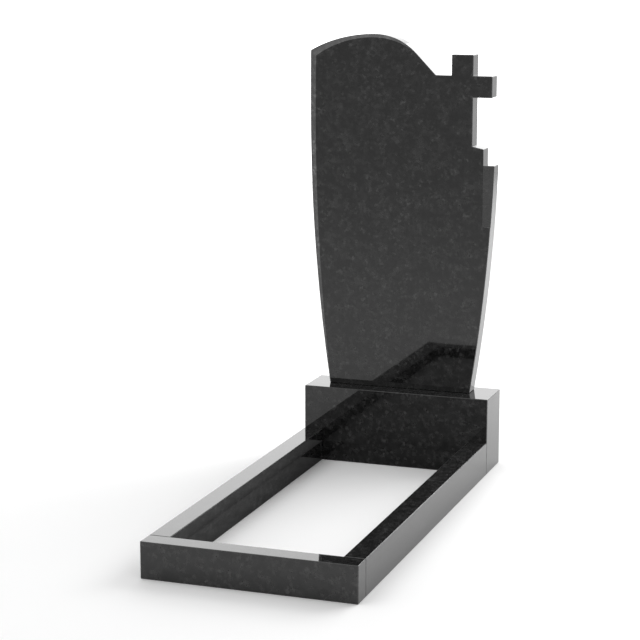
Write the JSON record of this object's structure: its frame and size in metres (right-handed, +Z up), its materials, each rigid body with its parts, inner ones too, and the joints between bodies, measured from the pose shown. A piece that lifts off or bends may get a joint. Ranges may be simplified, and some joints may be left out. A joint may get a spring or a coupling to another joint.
{
  "type": "headstone",
  "caption": "Polished dark stone grave monument: shaped stele with a corner cross, on a plinth behind an open kerbed flower bed.",
  "frame": {"origin": "on the ground, below the middle of the whole monument's box", "axes": "+Z up, -Y to the front (the kerb end), +X to the viewer's right; the bed runs along Y"},
  "size_m": [0.506, 1.18, 1.125],
  "materials": {
    "stele_stone": "mirror-polished black gabbro, chamfers and back honed",
    "plinth_stone": "mirror-polished black gabbro",
    "kerb_stone": "polished black gabbro"
  },
  "bodies": {
    "root": {"stele": "stele_stone", "plinth": "plinth_stone", "front_kerb": "kerb_stone", "side_kerb_left": "kerb_stone", "side_kerb_right": "kerb_stone"}
  },
  "joints": []
}
